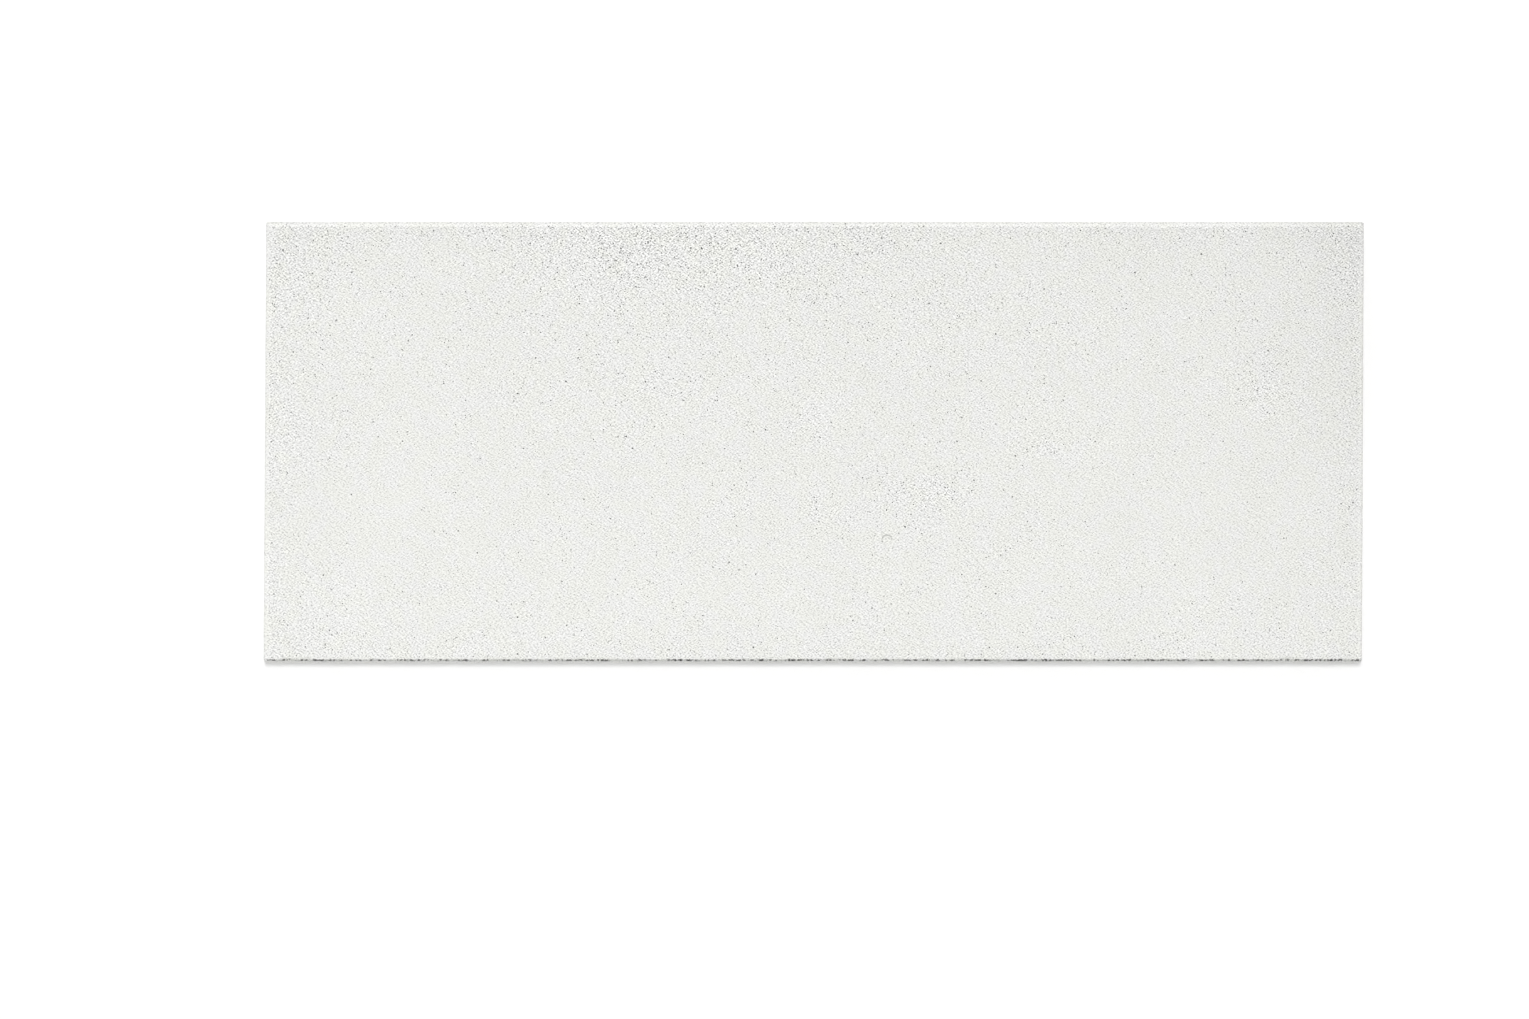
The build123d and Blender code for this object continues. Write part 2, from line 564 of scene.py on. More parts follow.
# The bake map, as shares of its width. On its left lie the two halves of the face, one above the other,
# with the arris flattened out round them. Beside them stand a strip for each long side and one strip for
# both short sides, and then the underside. The scales are map widths a metre, and the arris's room is how
# far it reaches outside the slab's plan when it is flattened out, in metres.
MAP_GAP = 0.004
ARRIS_ROOM = 2 * MM
FACE_SCALE = 1.21
SIDE_SCALE = 0.97
BED_SCALE = 0.52


def face_places(flat, right_half):
    """Where points of the face and arris lie on the bake map, from their flattened plan in metres. The
    right half lies above the left half, which starts from the slab's left end."""
    left_end = SLAB_SIZE.x / 2 + ARRIS_ROOM
    front_end = SLAB_SIZE.y / 2 + ARRIS_ROOM
    u = (flat[..., 0] + np.where(right_half, 0, left_end)) * FACE_SCALE + MAP_GAP
    v = (flat[..., 1] + front_end) * FACE_SCALE + MAP_GAP + np.where(right_half, 0.5, 0)
    return np.stack([u, v], axis=-1)


def side_places(sides, gone, upper, lower):
    """Where the cells of one row of the upright sides lie on the bake map: down the side is along u, and
    the way round the slab is along v. upper and lower are the row's lengths down from the arris."""
    starts = np.array([gone[:-1][sides == side].min() for side in range(4)])
    near = (gone[:-1] - starts[sides]) * SIDE_SCALE + MAP_GAP
    far = (gone[1:] - starts[sides]) * SIDE_SCALE + MAP_GAP
    strip = SLAB_SIZE.z * SIDE_SCALE + MAP_GAP
    first_strip = (SLAB_SIZE.x / 2 + 2 * ARRIS_ROOM) * FACE_SCALE + 2 * MAP_GAP
    # Front, right, back and left: which strip each is on, and whether it is in the strip's upper half
    strip_number = np.array([0, 2, 1, 2])[sides]
    lift = np.array([0.0, 0.0, 0.0, 0.5])[sides]
    u_upper = first_strip + strip_number * strip + upper * SIDE_SCALE
    u_lower = first_strip + strip_number * strip + lower * SIDE_SCALE
    u = np.stack([u_upper, u_lower, u_lower, u_upper], axis=1)
    v = np.stack([near, near, far, far], axis=1) + lift[:, None]
    return np.stack([u, v], axis=2)


def bed_places(plan):
    """Where points of the underside lie on the bake map, turned by a quarter and facing out."""
    u = 1 - MAP_GAP - (SLAB_SIZE.y / 2 + plan[..., 1]) * BED_SCALE
    v = 1 - MAP_GAP - (SLAB_SIZE.x / 2 + plan[..., 0]) * BED_SCALE
    return np.stack([u, v], axis=-1)


# How many of the face's cells one cell of the underside spans, how far inwards its grid starts, and the
# length and the height of its waves, in metres
BED_COARSENESS = 4
BED_INSET = 9 * MM
BED_WAVE_LENGTH = 0.03
BED_RISE = 0.12 * MM


def bed_grid(form, draw):
    """The underside: a coarse grid that rises a little by noise from the plane that the slab stands on."""
    along, across = form.face_cells_along // BED_COARSENESS, form.face_cells_across // BED_COARSENESS
    x, y = np.meshgrid(
        np.linspace(-1, 1, along + 1) * (SLAB_SIZE.x / 2 - BED_INSET),
        np.linspace(-1, 1, across + 1) * (SLAB_SIZE.y / 2 - BED_INSET),
        indexing="ij",
    )
    rise = BED_RISE * (1 + lattice_noise(x, y, BED_WAVE_LENGTH, draw)) / 2
    return np.stack([x, y, rise], axis=2)


# How far inwards from the arris the mesh's arris value falls to -1, in metres, and the angle past which an
# edge is drawn sharp
ARRIS_VALUE_REACH = 5 * MM
SHARP_ANGLE = math.radians(20)


def build_slab_mesh(form):
    """The whole slab as one closed surface: the face's grid, the rim carried round it, and an underside
    whose grid is coarser. Each rim column meets its nearest coarse point, so the strip between them is
    triangles with a four-sided cell where the nearest point changes."""
    draw = np.random.default_rng(SEED)
    face, face_inside, from_edge = face_grid(form, draw)
    path, profile = rim_path(form), rim_profile(form)
    feet, outward, starts, sides, gone = path
    _, _, done, down, arris_rows = profile
    rim, rim_inside = rim_grid(form, path, profile, draw)
    columns = len(feet)
    across = form.face_cells_across + 1
    first_rim = face.shape[0] * face.shape[1]
    first_bed = first_rim + rim.shape[0] * columns

    bed = bed_grid(form, draw)
    parts = SurfaceParts()
    # Walking face
    cells = grid_faces(*face.shape[:2])
    flat = face.reshape(-1, 3)[:, :2][cells]
    parts.add(cells, face_places(flat, (flat[..., 0].mean(axis=1) > 0)[:, None]))

    # Rim: rows of cells between one row of points and the next, with the face's border as the first row
    following = np.roll(np.arange(columns), -1)

    def cells_between(upper, lower):
        """The four corners of each cell between two rows, as point numbers or as places."""
        return np.stack([upper, lower, lower[following], upper[following]], axis=1)

    rows = first_rim + np.arange(rim.shape[0] * columns).reshape(rim.shape[0], columns)
    plan = feet + outward * (form.corner_radius - form.arris_radius)
    arris_plan = plan[None] + outward[None] * np.concatenate([[0.0], down])[:, None, None]
    right = ((plan[:, 0] + plan[following, 0]) / 2 > 0)[:, None]
    corners, places = cells_between(starts, rows[0]), cells_between(arris_plan[0], arris_plan[1])
    same = starts == starts[following]
    parts.add(corners[~same], face_places(places[~same], right[~same]))
    parts.add(corners[same, :3], face_places(places[same, :3], right[same]))
    for row in range(rim.shape[0] - 1):
        if row + 1 < arris_rows:
            places = face_places(cells_between(arris_plan[row + 1], arris_plan[row + 2]), right)
        else:
            places = side_places(sides, gone, *(down[row:row + 2] - down[arris_rows - 1]))
        parts.add(cells_between(rows[row], rows[row + 1]), places)

    # Underside: the strip between the rim's last row and the grid, and the grid facing down
    bed_number = first_bed + np.arange(bed.shape[0] * bed.shape[1]).reshape(bed.shape[:2])
    near_i = np.rint(starts // across / BED_COARSENESS).astype(int)
    near_j = np.rint(starts % across / BED_COARSENESS).astype(int)
    nearest = bed_number[near_i, near_j]
    corners = cells_between(rows[-1], nearest)
    places = bed_places(cells_between(rim[-1, :, :2], bed[near_i, near_j, :2]))
    same = nearest == nearest[following]
    parts.add(corners[~same], places[~same])
    parts.add(corners[same][:, [0, 1, 3]], places[same][:, [0, 1, 3]])
    cells = grid_faces(*bed.shape[:2], first=first_bed)[:, ::-1]
    parts.add(cells, bed_places(bed.reshape(-1, 3)[:, :2][cells - first_bed]))

    points = np.concatenate([face.reshape(-1, 3), rim.reshape(-1, 3), bed.reshape(-1, 3)])
    on_arris = np.concatenate([
        np.clip(-from_edge.ravel() / ARRIS_VALUE_REACH, -1, 0),
        np.repeat(done, columns),
        np.ones(bed_number.size),
    ])
    inside = np.concatenate([face_inside.ravel(), rim_inside.ravel(), np.zeros(bed_number.size)])
    lean = OUT_OF_SQUARE * points[:, 1] / SLAB_SIZE.y
    points[:, 0] = points[:, 0] * (1 - OUT_OF_SQUARE / SLAB_SIZE.x) + lean
    mesh = bpy.data.meshes.new("concrete_slab")
    mesh.from_pydata(points.tolist(), [], parts.faces)
    mesh.uv_layers.new(name="OFBake").data.foreach_set(
        "uv", np.concatenate(parts.places).astype(np.float32).ravel()
    )
    for name, values in (("pore", inside), ("arris", on_arris)):
        mesh.attributes.new(name, "FLOAT", "POINT").data.foreach_set("value", values.astype(np.float32))
    mesh.shade_smooth()
    mesh.set_sharp_from_angle(angle=SHARP_ANGLE)
    mesh.validate()
    return mesh


class Wire:
    """An output of a node, so that shader maths reads as Python. Numbers and wires mix freely."""

    def __init__(self, tree, socket=None):
        self.tree = tree
        self.socket = socket

    def node(self, kind, settings=None, inputs=None, output=0):
        """Adds a node of any kind: its settings first, then its sockets' values or wires."""
        made = self.tree.nodes.new(kind)
        for name, value in (settings or {}).items():
            setattr(made, name, value)
        for name, value in (inputs or {}).items():
            if isinstance(value, Wire):
                self.tree.links.new(value.socket, made.inputs[name])
            else:
                made.inputs[name].default_value = value
        return Wire(self.tree, made.outputs[output] if made.outputs else None)

    def math(self, operation, *values, clamp=False):
        """A Math node."""
        return self.node(
            "ShaderNodeMath", {"operation": operation, "use_clamp": clamp}, dict(enumerate(values))
        )

    def vector_math(self, operation, other):
        """A Vector Math node of this vector and another."""
        return self.node("ShaderNodeVectorMath", {"operation": operation}, {0: self, 1: other})

    def __add__(self, other):
        return self.math("ADD", self, other)

    def __sub__(self, other):
        return self.math("SUBTRACT", self, other)

    def __rsub__(self, other):
        return self.math("SUBTRACT", other, self)

    def __mul__(self, other):
        return self.math("MULTIPLY", self, other)

    def __truediv__(self, other):
        return self.math("DIVIDE", self, other)

    def __neg__(self):
        return self.math("MULTIPLY", self, -1.0)

    def __abs__(self):
        return self.math("ABSOLUTE", self)

    __radd__ = __add__
    __rmul__ = __mul__

    def highest(self, other):
        """The higher of this value and another."""
        return self.math("MAXIMUM", self, other)

    def lowest(self, other):
        """The lower of this value and another."""
        return self.math("MINIMUM", self, other)

    def fading(self, reach):
        """An exponential: 1 at zero, and about a third of that for each reach further on."""
        return self.math("EXPONENT", self / -reach)

    def bell(self, width):
        """A bell curve: 1 at zero, and about a third of that one width away."""
        part = self / width
        return self.math("EXPONENT", -(part * part))

    def clamped(self):
        """The value kept from 0 to 1."""
        return self.math("ADD", self, 0.0, clamp=True)

    def eased(self, low, high):
        """0 below low and 1 above high, with a smooth step between."""
        return self.node(
            "ShaderNodeMapRange",
            {"interpolation_type": "SMOOTHSTEP"},
            {"Value": self, "From Min": low, "From Max": high, "To Min": 0.0, "To Max": 1.0},
        )

    def scaled(self, factor):
        """This vector or colour times a value."""
        return self.node("ShaderNodeVectorMath", {"operation": "SCALE"}, {0: self, "Scale": factor})

    def stretched(self, *by):
        """This vector with each axis times its own number."""
        return self.vector_math("MULTIPLY", by)

    def moved(self, *by):
        """This vector moved by a fixed amount along each axis."""
        return self.vector_math("ADD", by)

    def parts(self):
        """The three parts of this vector or colour."""
        split = self.node("ShaderNodeSeparateXYZ", None, {0: self})
        return [Wire(self.tree, out) for out in split.socket.node.outputs]

    def noise(self, size, detail=0.0, offset=0.0):
        """Noise with features of this size in millimetres at this place, from about -1 to 1. Each use
        has an offset of its own, so that no two patterns agree."""
        place = self.moved(offset, offset, offset)
        raw = self.node("ShaderNodeTexNoise", None, {"Vector": place, "Scale": 1 / size, "Detail": detail})
        return (raw - 0.5) * 2.0

    def cells(self, size):
        """Cells of this size in millimetres: the distance to the cell's middle in millimetres, and
        three random values of the cell."""
        distance = self.node("ShaderNodeTexVoronoi", None, {"Vector": self, "Scale": 1 / size})
        colour = Wire(self.tree, distance.socket.node.outputs["Color"])
        return distance * size, colour.parts()

    def mix(self, other, factor):
        """From this colour to another by a factor."""
        return self.node(
            "ShaderNodeMix", {"data_type": "RGBA"}, {0: factor, 6: self, 7: other}, output=2
        )

    def colour(self, value):
        """A plain colour."""
        made = self.node("ShaderNodeRGB")
        made.socket.default_value = (*value, 1.0)
        return made


def new_tree(material):
    """Empties a material's or world's nodes and returns a wire to start from."""
    material.use_nodes = True
    material.node_tree.nodes.clear()
    return Wire(material.node_tree)


class Skin:
    """A place on the concrete: where it is in millimetres, which part of the slab it is on and how open
    the skin is there. The sides and underside are evenly open, and the arris is nearly closed."""

    def __init__(self, wires):
        self.place = wires.node("ShaderNodeTexCoord", None, None, output="Object").scaled(1 / MM)
        self.x, self.y, self.z = self.place.parts()
        self.from_end = HALF_LENGTH - abs(self.x)
        self.modelled_pore = self.attribute(wires, "pore").eased(0.15, 0.75)
        self.arris = self.attribute(wires, "arris")
        self.on_face = self.z.eased(THICKNESS - 5.0, THICKNESS - 1.0)
        openness = self.face_openness() + self.place.noise(30.0, detail=2.0) * 0.26
        closed = self.arris.eased(-0.25, -0.05) * (1 - self.arris.eased(0.85, 1.0)) * 0.7
        self.open = (openness * self.on_face + (1 - self.on_face) * 0.55) * (1 - closed)

    @staticmethod
    def attribute(wires, name):
        """A value that the mesh carries."""
        return wires.node("ShaderNodeAttribute", {"attribute_name": name}, None, output="Fac")

    def face_openness(self):
        """The same sum as openness, as nodes."""
        inward = self.from_end.lowest(HALF_WIDTH - abs(self.y))
        level = inward.fading(EDGE_REACH / MM) * EDGE_OPENNESS + BASE_OPENNESS
        for middle, reach, more in OPEN_AREAS:
            at_x, at_y = on_face(*middle)
            along = (self.x - at_x / MM) / (reach[0] / MM)
            across = (self.y - at_y / MM) / (reach[1] / MM)
            level = (along * along + across * across).fading(1.0) * more + level
        return level


def pore_layer(place, size, widest, chance, soft):
    """Round pores scattered in cells of one size: a pore's radius is random up to widest, in
    millimetres, and only cells whose random value is under the chance have one. Returns how far a place
    is inside a pore and how far it is on the rim round one, each from 0 to 1."""
    distance, (pick, width, _) = place.cells(size)
    radius = (width * 0.65 + 0.35) * widest
    present = (chance - pick).eased(0.0, 0.05)
    core = ((radius - distance) / soft).clamped()
    rim = ((radius + 0.55 - distance) / 0.3).clamped() - core
    return core * present, rim * present


# For wide, middling and fine pores: the size of the cells they are scattered in, one to a cell at most, and
# how soft a pore's edge is, in millimetres
WIDE_CELL, MIDDLING_CELL, FINE_CELL = 5.5, 2.2, 1.25
WIDE_SOFT, MIDDLING_SOFT, FINE_SOFT = 0.20, 0.15, 0.12


def scatter_pores(skin, look):
    """Pores of three sizes that gather where the skin is open, a little bent out of round. Returns how
    far a place is inside any pore, the modelled ones too, how far it is on a rim, and the pores' depth."""
    place = skin.place
    wobble = place.noise(2.2, offset=17.0)
    bend = place.node("ShaderNodeCombineXYZ", None, {0: wobble * 0.5, 1: wobble * -0.35})
    bent = place.vector_math("ADD", bend)
    # Short curved strings of pores, where the skin tore as the mould was drawn: along the middle line of
    # a slow noise, broken up by another
    slow = place.stretched(0.7, 1.3, 1.0).noise(12.0, detail=1.0, offset=120.0)
    strings = (0.10 - abs(slow)).eased(0.0, 0.06) * place.noise(9.0, offset=150.0).eased(0.0, 0.25)
    strings = strings * (skin.open + 0.2)
    clusters = place.noise(11.0, detail=1.0, offset=70.0).eased(-0.35, 0.45) * 1.5

    wide_chance = skin.open * skin.open * 0.8
    middling_chance = skin.open * (skin.open + 0.25) * look.middling_chance * clusters + strings * 0.7
    fine_chance = skin.open * look.fine_chance + 0.05 + strings
    wide, wide_rim = pore_layer(bent, WIDE_CELL, look.wide_pore / MM, wide_chance, WIDE_SOFT)
    middling, middling_rim = pore_layer(
        bent, MIDDLING_CELL, look.middling_pore / MM, middling_chance, MIDDLING_SOFT
    )
    fine, fine_rim = pore_layer(bent, FINE_CELL, look.fine_pore / MM, fine_chance, FINE_SOFT)

    inside = wide.highest(skin.modelled_pore).highest(middling).highest(fine * 0.7)
    rims = (wide_rim + middling_rim + fine_rim * 0.7) * (1 - inside)
    depth = (wide * 0.55 + middling * 0.40 + fine * 0.22) * look.pore_relief
    return inside, rims, depth


# In millimetres: how far from a grain its darker edges lie, and the size of the cells of the light specks,
# a quarter of which have a speck, with the speck's radius
GRAIN_STEP = 1.36
SPECK_CELL = 1.9
SPECK_RADIUS = 0.55


def sand_grain(skin, look):
    """Sand in the skin: its grain, from about -1 to 1, with painted shade on two sides of each light part as
    a lit relief would have, the gaps where it is lowest, and scattered light specks."""
    stretched = skin.place.stretched(0.85, 1.1, 1.0)
    size = look.grain_size / MM
    beside = stretched.moved(GRAIN_STEP, 0.0, 0.0).noise(size, offset=5.0)
    above = stretched.moved(0.0, GRAIN_STEP, 0.0).noise(size, offset=5.0)
    # Painted shade: the grain less a share of the grain one step to the right and to the back, so that each
    # light part gets a darker edge on two sides
    grain = stretched.noise(size, offset=5.0) - (beside + above) * look.painted_grain_shade
    gaps = (-grain).eased(0.15, 0.6)
    distance, (pick, _, _) = skin.place.cells(SPECK_CELL)
    specks = ((SPECK_RADIUS - distance) / 0.2).clamped() * (0.25 - pick).eased(0.0, 0.05)
    return grain, gaps, specks


def bubble_ring(skin):
    """The ring that a burst bubble left: only its far half stands sharp enough to catch a shadow."""
    at_x, at_y = on_face(*BUBBLE_AT)
    along, across = skin.x - at_x / MM, skin.y - at_y / MM
    distance = skin.place.math("SQRT", along * along + across * across)
    off_ring = distance + skin.place.noise(4.0, offset=60.0) * 0.5 - BUBBLE_RADIUS / MM
    ring = ((0.75 - abs(off_ring)) / 0.5).clamped() * across.eased(-1.5, 1.5) * skin.on_face
    return ring * (skin.place.noise(2.0, offset=90.0) * 0.4 + 0.8)


# How much the skin's lightness falls for each millimetre to the right and to the back: painted shade for
# light that falls off across the face
PAINTED_FALL_RIGHT = 0.000032
PAINTED_FALL_BACK = 0.000082
# Painted shade along the back and the front edge: how dark it is, and how far inwards it reaches in
# millimetres
BACK_SHADE, BACK_SHADE_REACH = 0.036, 25.0
FRONT_SHADE, FRONT_SHADE_REACH = 0.017, 22.0
# Painted shade of the ends, of which the right end has two: how dark it is at the end, and how far from the
# slab's middle it starts in millimetres
LEFT_SHADE, LEFT_SHADE_START = 0.018, 400.0
RIGHT_SHADE, RIGHT_SHADE_START = 0.033, 320.0
RIGHT_TIP_SHADE, RIGHT_TIP_SHADE_START = 0.028, 440.0
# What the right end's painted shade is multiplied by half way from front to back, and how much that grows
# for each millimetre to the back
RIGHT_SHADE_LEVEL = 0.775
RIGHT_SHADE_GROWTH = 0.0025


def slow_tone_and_painted_shade(skin, look):
    """The skin's lightness without its grain: slow mottling of its own, under painted shade for light that
    falls off across the face, a slow slope darker towards the back, the front and both ends, most of all at
    the back of the right end."""
    x, y = skin.x, skin.y
    mottle = skin.place.noise(60.0, detail=3.0, offset=40.0)
    tone = look.lightness - x * PAINTED_FALL_RIGHT - y * PAINTED_FALL_BACK + mottle * look.mottle_contrast
    tone = tone - (HALF_WIDTH - y).fading(BACK_SHADE_REACH) * BACK_SHADE
    tone = tone - (HALF_WIDTH + y).fading(FRONT_SHADE_REACH) * FRONT_SHADE
    painted_right_shade = x.eased(RIGHT_SHADE_START, HALF_LENGTH) * RIGHT_SHADE
    painted_right_shade = painted_right_shade + x.eased(RIGHT_TIP_SHADE_START, HALF_LENGTH) * RIGHT_TIP_SHADE
    left_end = (-x).eased(LEFT_SHADE_START, HALF_LENGTH) * LEFT_SHADE
    return tone - painted_right_shade * (y * RIGHT_SHADE_GROWTH + RIGHT_SHADE_LEVEL) - left_end


def arris_tone(skin, look):
    """What the arris adds to the skin's lightness: a painted highlight on its top along the back, and on all
    of it, a third as much, along the ends. On the front a line of painted shade, in dashes and pits, runs
    along its foot.
    The one chip of the front that shows is a grey scar on the face, a clean gap in the line of shade and a
    dark dot of painted shade."""
    place = skin.place
    front = (-skin.y).eased(HALF_WIDTH - 3.0, HALF_WIDTH - 1.5)
    back = skin.y.eased(HALF_WIDTH - 10.0, HALF_WIDTH - 4.0)
    ends = 1 - skin.from_end.eased(5.5, 6.5)
    # The arris's own coordinate, less than 0 on the face, 0 at its top and 1 at its foot, made uneven
    wander = place.noise(1.6, offset=210.0) * 0.25 + place.noise(5.0, offset=220.0) * 0.12
    ragged = skin.arris + wander
    even = skin.arris + wander * 0.4
    # Painted highlight: the top of the arris is lighter along the back, and all of it a third as much along
    # the ends
    lightened = even.eased(-0.42, -0.18) * (1 - even.eased(0.10, 0.22)) * back
    lightened = lightened.highest(even.eased(-0.35, -0.2) * (1 - even.eased(0.85, 1.0)) * ends * 0.33)

    # Painted shade: a dark broken line of dashes and pits along the foot of the front arris, where the
    # front, turned away from the lamps, lies in shade
    _, (crumb, _, _) = place.stretched(1.0, 0.5, 0.5).cells(1.7)
    dashes = place.noise(11.0, detail=1.0, offset=200.0)
    pits = (crumb + dashes * 0.25).eased(0.59, 0.63)
    shade_marks = (dashes * 0.20 + 0.25).clamped() + pits * 0.52
    # The gap in the line is 2.6 mm to the left of the chip, and the dot is 0.4 mm to its right.
    from_chip = skin.x - on_face(*CHIP_AT)[0] / MM
    shade_marks = shade_marks * (1 - (from_chip + 2.6).bell(1.0)) + (from_chip - 0.4).bell(0.9) * 0.5
    foot_line = ragged.eased(0.15, 0.33) * skin.z.eased(THICKNESS - 5.5, THICKNESS - 3.5)
    painted_foot_shade = foot_line * front * skin.from_end.eased(0.5, 4.5) * shade_marks
    scar = (from_chip - 1.5).bell(6.0) * (skin.y + HALF_WIDTH - 4.2).bell(1.3)
    return lightened * look.arris_highlight - painted_foot_shade.clamped() * look.painted_foot_shade - scar * 0.10


def concrete_material(look):
    """Off-white pressed concrete: pale cement skin with slow mottling, sand grain, and pores of three sizes
    that gather in the open areas, with painted shade in the pores, the grain and along the front arris,
    painted shade falling off across the face and a painted highlight on the back arris. Every pattern is in
    the slab's own millimetres."""
    material = bpy.data.materials.new("pale_pressed_concrete")
    wires = new_tree(material)
    skin = Skin(wires)
    place = skin.place
    pores, rims, pore_depth = scatter_pores(skin, look)
    grain, gaps, specks = sand_grain(skin, look)
    ring = bubble_ring(skin)

    liveliness = skin.open * 0.75 + 0.52
    # The sides and underside are rougher than the face, with coarser light and dark patches.
    rough_side = place.noise(3.6, detail=1.0, offset=230.0) + place.noise(9.0, offset=240.0) * 0.5
    # The slow tone with its painted shade, the arris's painted highlight and painted shade, the lighter pore
    # rims and the light specks
    tone = slow_tone_and_painted_shade(skin, look) + arris_tone(skin, look) + rims * look.rim_light + specks * look.speck
    # The grain with its painted shade, and painted shade in the gaps between grains
    tone = tone + (grain * look.grain_contrast - gaps * look.gap_shade) * liveliness
    tone = tone + rough_side * (1 - skin.on_face) * look.side_contrast
    # Painted shade: the pores, the modelled ones too, and the far half of the bubble's ring are darkened
    # where shade falls in them
    shade = 1 - pores.highest(ring * 0.5) * (1 - look.pore_shade)
    warmth = (place.noise(15.0, detail=1.0, offset=80.0) - skin.open * 0.25 + 0.1).eased(-0.25, 0.25)
    colour = wires.colour(look.paste).mix(wires.colour(look.warm_paste), warmth)

    height = grain * (look.relief / MM) + specks * 0.05 - ring * 0.35 - pore_depth
    normal = wires.node("ShaderNodeBump", None, {"Strength": 1.0, "Distance": MM, "Height": height})
    shader = wires.node(
        "ShaderNodeBsdfPrincipled", None,
        {"Base Color": colour.scaled(tone * shade), "Roughness": look.roughness + pores * 0.1 + grain * 0.04,
         "Normal": normal, "Specular IOR Level": 0.3},
    )
    wires.node("ShaderNodeOutputMaterial", None, {"Surface": shader})
    return material


def camera_sees(wires):
    """1 for the rays that show the background: the camera's, and those reflected or let through."""
    path = wires.node("ShaderNodeLightPath").socket.node.outputs
    seen = Wire(wires.tree, path["Is Camera Ray"])
    for name in ("Is Glossy Ray", "Is Transmission Ray"):
        seen = wires.math("MAXIMUM", seen, Wire(wires.tree, path[name]))
    return seen


class SLAB_OT_body(bpy.types.Operator):
    """Model the slab with its pores, worn arris and concrete finish"""

    bl_idname = "slab.body"
    bl_label = "Concrete slab"

    def execute(self, context):
        piece = bpy.data.objects.new("concrete_slab", build_slab_mesh(context.scene.slab_form))
        context.scene.collection.objects.link(piece)
        piece.data.materials.append(concrete_material(context.scene.slab_look))
        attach(piece, "root")
        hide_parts("paving_slab")
        return {"FINISHED"}


class SLAB_OT_stage(bpy.types.Operator):
    """Lay the floor, hang the lamps and set up the camera"""

    bl_idname = "slab.stage"
    bl_label = "Floor, lamps and camera"

    def execute(self, context):
        setting = context.scene.slab_stage
        lay_floor(context, setting)
        light_dome(context, setting)
        key_height = math.pi / 2 - setting.key_lean
        hang_sun(context, "key_lamp", setting.key, setting.key_spread, 0.0, key_height)
        hang_sun(
            context, "back_lamp", setting.back, setting.back_spread, setting.back_turn, setting.back_height
        )
        aim_camera(context, setting)
        return {"FINISHED"}


# How far under the slab the floor lies, so that the two never meet in one plane
FLOOR_GAP = 0.1 * MM


def lay_floor(context, setting):
    """A white floor that keeps the slab's shadow. What the camera sees of it is lifted by a little light
    of its own, which the slab doesn't get, so that open floor is plain white."""
    half = setting.floor_size / 2
    mesh = bpy.data.meshes.new("floor")
    level = slab_low.z - FLOOR_GAP
    corners = [(-half, -half, level), (half, -half, level), (half, half, level), (-half, half, level)]
    mesh.from_pydata(corners, [], [(0, 1, 2, 3)])
    material = bpy.data.materials.new("white_floor")
    wires = new_tree(material)
    glow = wires.colour((0, 0, 0)).mix(wires.colour((1, 1, 1)), camera_sees(wires))
    shader = wires.node(
        "ShaderNodeBsdfPrincipled", None,
        {"Base Color": (*setting.floor_colour, 1), "Roughness": 1.0, "Specular IOR Level": 0.0,
         "Emission Color": glow, "Emission Strength": setting.floor_lift},
    )
    wires.node("ShaderNodeOutputMaterial", None, {"Surface": shader})
    mesh.materials.append(material)
    floor = bpy.data.objects.new("floor", mesh)
    context.scene.collection.objects.link(floor)


def light_dome(context, setting):
    """Even light from all round, a little stronger from the back, and a white background."""
    world = bpy.data.worlds.new("studio")
    context.scene.world = world
    wires = new_tree(world)
    direction = wires.node("ShaderNodeTexCoord", None, None, output="Generated")
    _, towards_back, _ = direction.parts()
    dome = (towards_back * setting.dome_slope + 1) * setting.dome
    seen = camera_sees(wires)
    level = seen + (1 - seen) * dome
    shown = wires.colour((1, 1, 1)).scaled(level)
    background = wires.node("ShaderNodeBackground", None, {"Color": shown, "Strength": 1.0})
    wires.node("ShaderNodeOutputWorld", None, {"Surface": background})


# How far off the lamps' symbols stand in the 3D view, in metres
SHOWN_LAMP_DISTANCE = 4


def hang_sun(context, name, share, spread, left, height):
    """A lamp whose light comes from one direction, so that its place doesn't matter. A share of 1 lights a
    face turned to it so that a colour renders as it is written. left is the lamp's angle round from
    straight behind the slab, and height its angle above the floor."""
    lamp = bpy.data.lights.new(name, "SUN")
    lamp.energy = share * math.pi
    lamp.angle = spread
    holder = bpy.data.objects.new(name, lamp)
    way = Vector((-math.sin(left) * math.cos(height), math.cos(left) * math.cos(height), math.sin(height)))
    holder.rotation_mode = "QUATERNION"
    holder.rotation_quaternion = way.to_track_quat("Z", "Y")
    holder.location = way * SHOWN_LAMP_DISTANCE
    context.scene.collection.objects.link(holder)


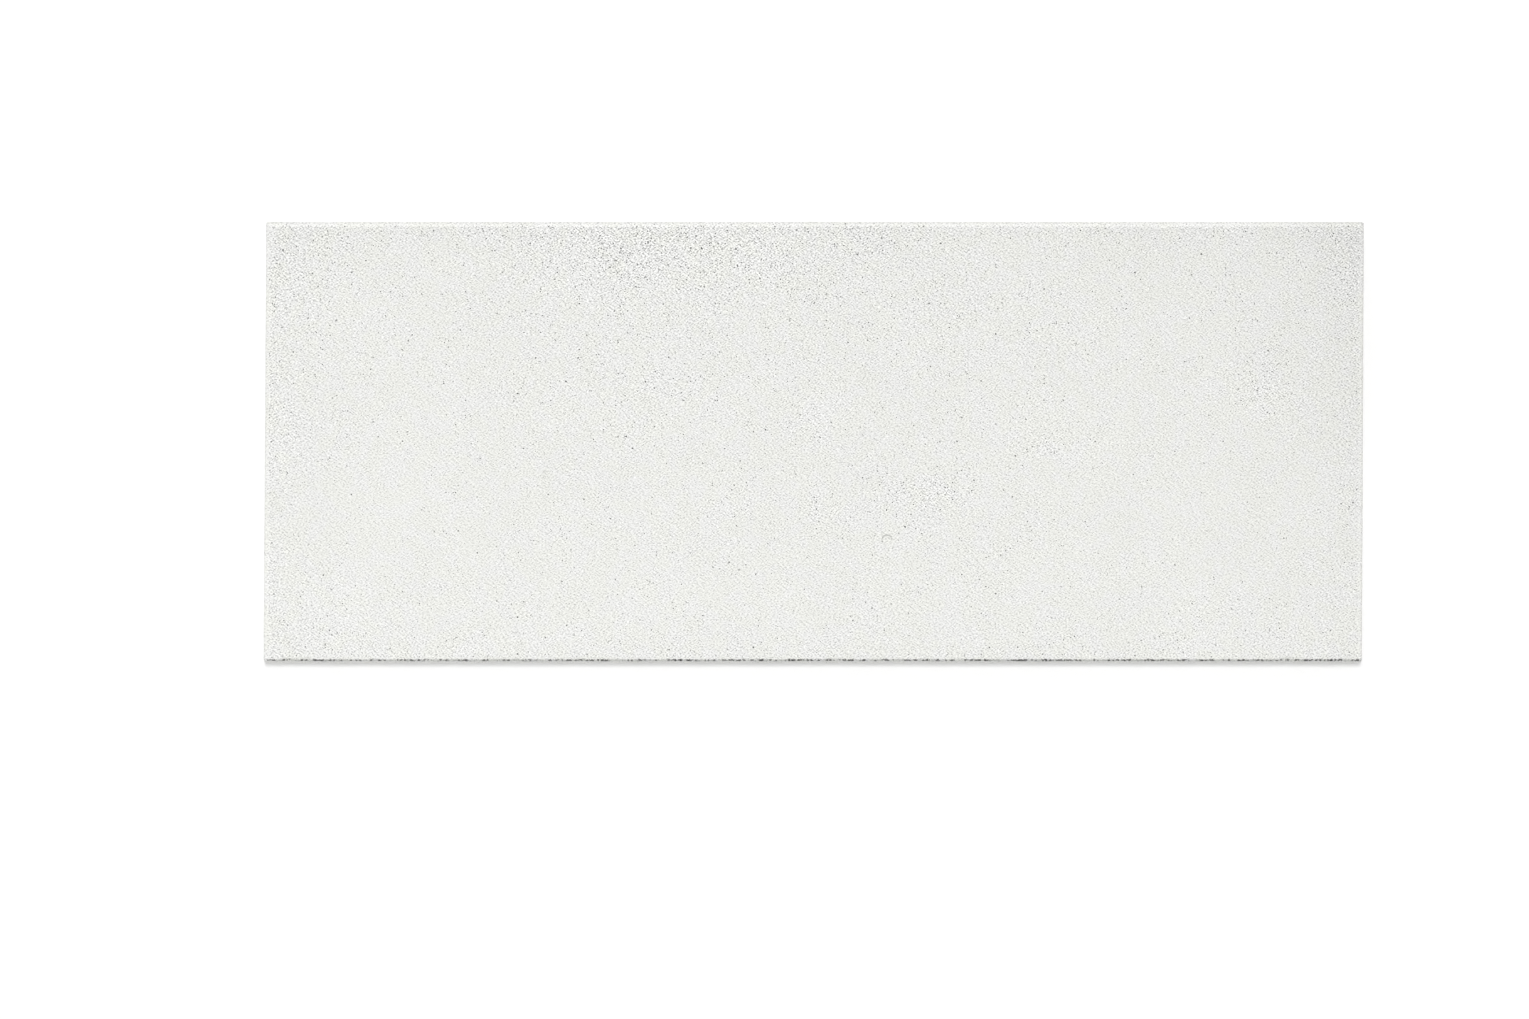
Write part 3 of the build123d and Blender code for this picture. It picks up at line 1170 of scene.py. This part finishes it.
def aim_camera(context, setting):
    """A long lens almost straight above, with the photograph's frame round the slab."""
    camera = bpy.data.cameras.new("camera")
    camera.sensor_fit = "HORIZONTAL"
    camera.sensor_width = 36.0
    camera.lens = camera.sensor_width * setting.camera_distance / (PHOTO_WIDTH * METRES_PER_PIXEL)
    camera.clip_end = 100.0
    holder = bpy.data.objects.new("camera", camera)
    aim_x, aim_y = on_face(PHOTO_WIDTH / 2, PHOTO_HEIGHT / 2)
    back = Vector((0, -math.sin(setting.camera_tilt), math.cos(setting.camera_tilt)))
    holder.location = Vector((aim_x, aim_y, slab_high.z)) + back * setting.camera_distance
    holder.rotation_mode = "QUATERNION"
    holder.rotation_quaternion = back.to_track_quat("Z", "Y")
    context.scene.collection.objects.link(holder)
    context.scene.camera = holder


class SLAB_PT_sidebar(bpy.types.Panel):
    """The slab's operators and settings in the 3D view's sidebar"""

    bl_idname = "SLAB_PT_sidebar"
    bl_label = "Paving slab"
    bl_space_type = "VIEW_3D"
    bl_region_type = "UI"
    bl_category = "Paving slab"

    def draw(self, context):
        for operator in OPERATORS:
            self.layout.operator(operator.bl_idname)
        for group in (context.scene.slab_form, context.scene.slab_look, context.scene.slab_stage):
            box = self.layout.box()
            for name in group.bl_rna.properties.keys():
                if name not in ("rna_type", "name"):
                    box.prop(group, name)


OPERATORS = (SLAB_OT_body, SLAB_OT_stage)
CLASSES = (SlabForm, ConcreteLook, StageSetting, *OPERATORS, SLAB_PT_sidebar)


def register():
    """Adds the classes to Blender and their settings to the scene."""
    for each in CLASSES:
        bpy.utils.register_class(each)
    bpy.types.Scene.slab_form = bpy.props.PointerProperty(type=SlabForm)
    bpy.types.Scene.slab_look = bpy.props.PointerProperty(type=ConcreteLook)
    bpy.types.Scene.slab_stage = bpy.props.PointerProperty(type=StageSetting)


def unregister():
    """Takes the settings and the classes away again."""
    del bpy.types.Scene.slab_stage
    del bpy.types.Scene.slab_look
    del bpy.types.Scene.slab_form
    for each in reversed(CLASSES):
        bpy.utils.unregister_class(each)


def main():
    register()
    bpy.context.scene.view_settings.view_transform = "Standard"
    bpy.ops.slab.body()
    bpy.ops.slab.stage()


if __name__ == "__main__":
    main()
